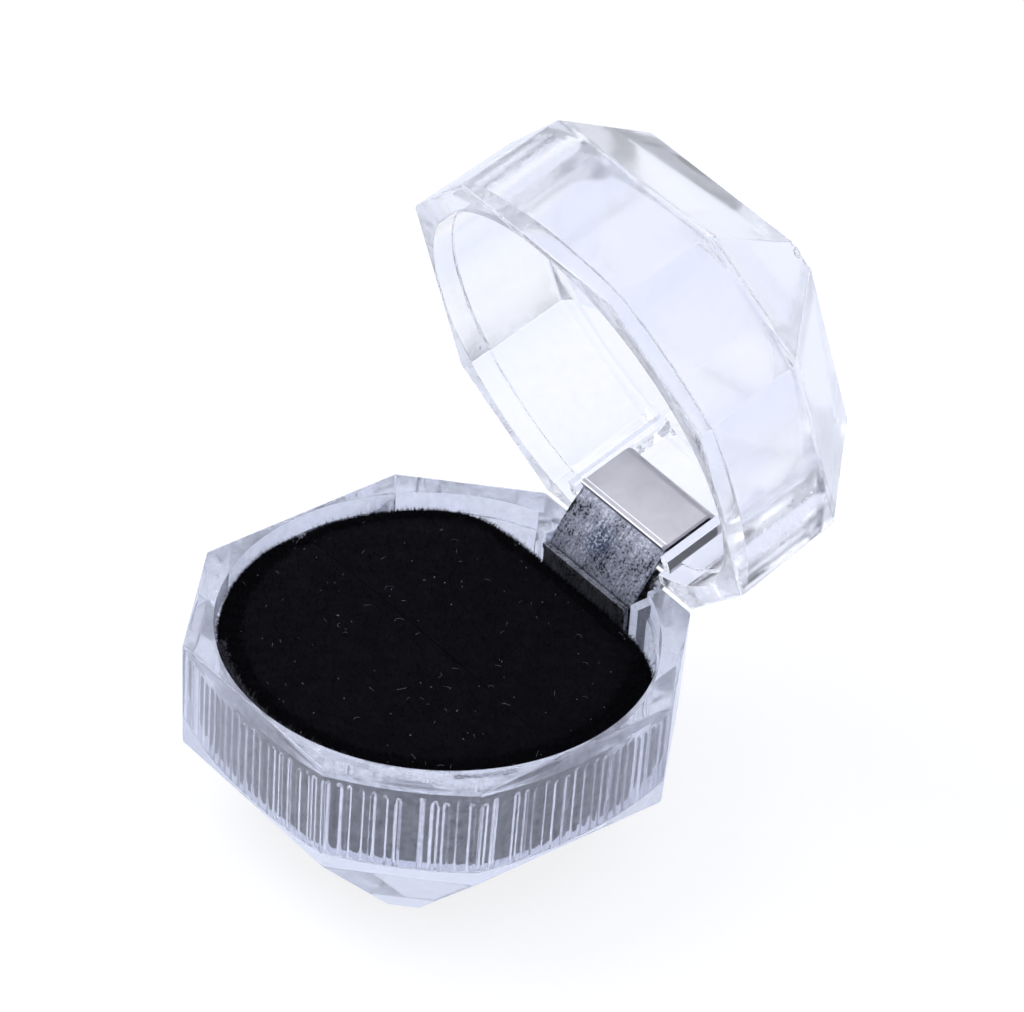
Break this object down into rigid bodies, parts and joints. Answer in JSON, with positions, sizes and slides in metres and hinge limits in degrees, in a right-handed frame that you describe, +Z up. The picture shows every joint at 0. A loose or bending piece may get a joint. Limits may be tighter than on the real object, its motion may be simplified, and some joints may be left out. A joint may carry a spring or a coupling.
{
  "type": "ring display box",
  "caption": "Small clear faceted box with a black velvet pad in its base and a lid that snaps open on a steel spring hinge, for showing a ring.",
  "frame": {"origin": "centre of the flat face that the box stands on", "axes": "+Z up out of the base, +Y towards the hinge, X along the hinge pin; the lid is stored at its open stop, leaning back over the base"},
  "size_m": [0.04, 0.0557, 0.0603],
  "materials": {
    "clear_shell": "gloss",
    "pad_foam": "matte",
    "velvet": "matte",
    "hinge_plated": "satin",
    "hinge_spring_steel": "satin"
  },
  "bodies": {
    "base": {"base_shell": "clear_shell", "pad_foam": "pad_foam", "velvet_cap": "velvet", "hinge_base_leaf": "hinge_plated", "hinge_pin": "hinge_plated"},
    "lid": {"lid_shell": "clear_shell", "hinge_lid_leaf": "hinge_plated"},
    "spring_strip": {"hinge_spring": "hinge_spring_steel"}
  },
  "joints": [
    {"name": "lid_hinge", "type": "hinge", "parent": "base", "child": "lid", "pos_m": [0, 0.02, 0.01928], "axis": [1, 0, 0], "range_deg": [0, 72]},
    {"name": "spring_turn", "type": "hinge", "parent": "base", "child": "spring_strip", "pos_m": [0, 0.02, 0.01928], "axis": [1, 0, 0], "range_deg": [0, 36]}
  ],
  "couplings": [
    {"joint": "spring_turn", "follows": "lid_hinge", "ratio": 0.5}
  ]
}
